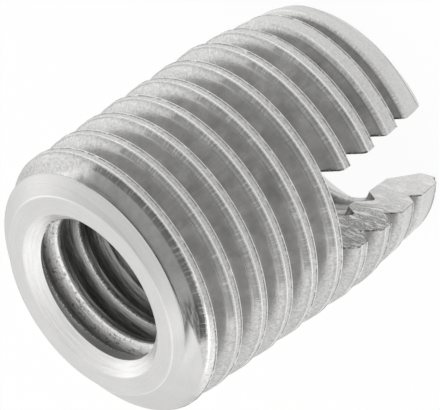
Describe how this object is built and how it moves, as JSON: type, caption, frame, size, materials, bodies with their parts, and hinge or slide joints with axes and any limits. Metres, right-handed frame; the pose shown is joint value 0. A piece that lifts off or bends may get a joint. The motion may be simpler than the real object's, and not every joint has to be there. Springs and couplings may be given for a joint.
{
  "type": "threaded insert",
  "caption": "Self-tapping threaded insert: a steel sleeve with a cutting thread outside, a screw thread inside and a slotted, tapered end.",
  "frame": {"origin": "centre of the slotted end's face, on the hole's axis, where the insert stands", "axes": "+Z out of the front face along the hole's axis, X along the slot"},
  "size_m": [0.012, 0.012, 0.0154],
  "materials": {
    "steel": "bright turned stainless steel, uncoated"
  },
  "bodies": {
    "root": {"insert": "steel"}
  },
  "joints": []
}
